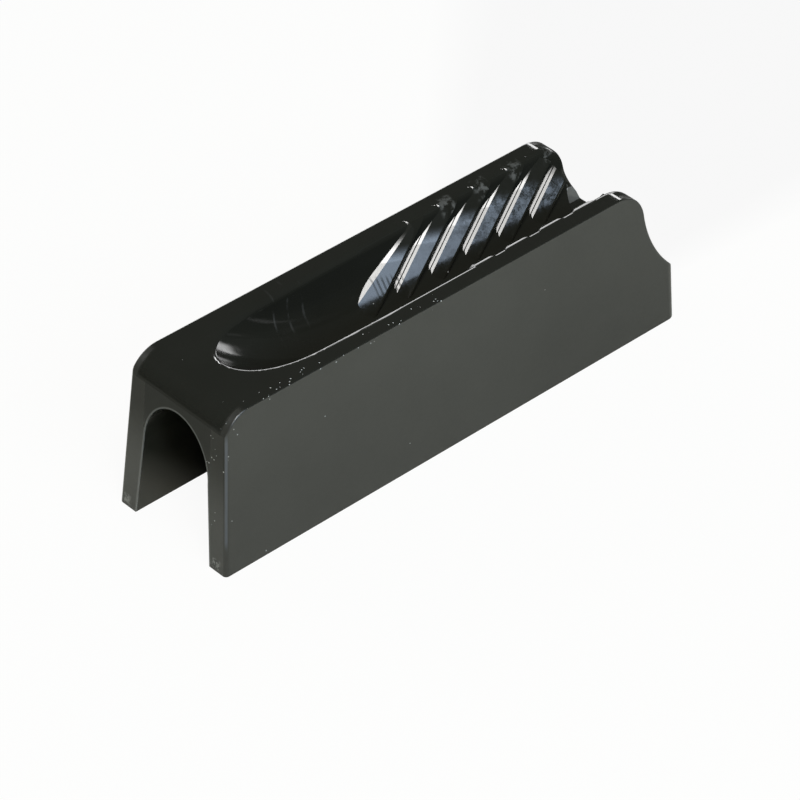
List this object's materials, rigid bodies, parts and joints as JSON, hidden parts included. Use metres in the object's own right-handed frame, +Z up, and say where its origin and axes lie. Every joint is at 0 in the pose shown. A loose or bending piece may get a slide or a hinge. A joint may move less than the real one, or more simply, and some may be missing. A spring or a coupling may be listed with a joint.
{
  "type": "jam cleat",
  "caption": "One-piece moulded jam cleat: an inverted channel with a rope groove along its top, gripping ribs on the groove walls and two rounded horns at the rear.",
  "frame": {"origin": "middle of the footprint, on the plane of the two leg feet", "axes": "+X along the cleat from the lead end to the horns, +Y across it, +Z up from the base to the flat top"},
  "size_m": [0.064, 0.016, 0.0187],
  "materials": {
    "moulded_black": "glossy top and groove, satin sides"
  },
  "bodies": {
    "root": {"cleat_body": "moulded_black"}
  },
  "joints": []
}
